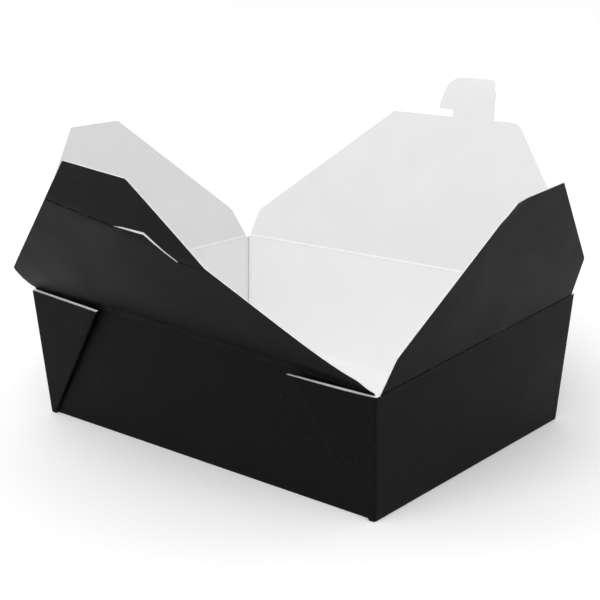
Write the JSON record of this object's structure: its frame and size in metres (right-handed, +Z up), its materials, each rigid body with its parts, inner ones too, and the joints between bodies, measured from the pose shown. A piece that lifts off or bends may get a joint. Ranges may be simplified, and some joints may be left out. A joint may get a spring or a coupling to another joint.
{
  "type": "takeaway box",
  "caption": "Shallow folded paperboard food box with flaring walls, corner webs folded outside the long walls, and hinged lid flaps with a hooked tab and slit lock.",
  "frame": {"origin": "on the ground, under the middle of the floor panel", "axes": "+X along the long walls to the right end, +Y from the front wall, whose flap has the slit, to the back wall, whose flap has the tab, +Z up out of the open top"},
  "size_m": [0.2707, 0.2747, 0.148],
  "materials": {
    "board": "matte"
  },
  "bodies": {
    "tray": {"tray": "board"},
    "front_flap": {"front_flap": "board"},
    "back_flap": {"back_flap": "board"},
    "right_flap": {"right_flap": "board"},
    "left_flap": {"left_flap": "board"}
  },
  "joints": [
    {"name": "front_crease", "type": "hinge", "parent": "tray", "child": "front_flap", "pos_m": [-0.00016, -0.0775, 0.061], "axis": [-0.9996, -0.0025, 0.0295], "range_deg": [-53, 121]},
    {"name": "back_crease", "type": "hinge", "parent": "tray", "child": "back_flap", "pos_m": [0.00016, 0.0775, 0.061], "axis": [0.9996, 0.0025, 0.0295], "range_deg": [-55, 116]},
    {"name": "right_crease", "type": "hinge", "parent": "tray", "child": "right_flap", "pos_m": [0.10147, 0.00026, 0.0604], "axis": [-0.0021, -0.9992, -0.0387], "range_deg": [-109, 111]},
    {"name": "left_crease", "type": "hinge", "parent": "tray", "child": "left_flap", "pos_m": [-0.10147, -0.00026, 0.0604], "axis": [0.0021, 0.9992, -0.0387], "range_deg": [-99, 121]}
  ]
}
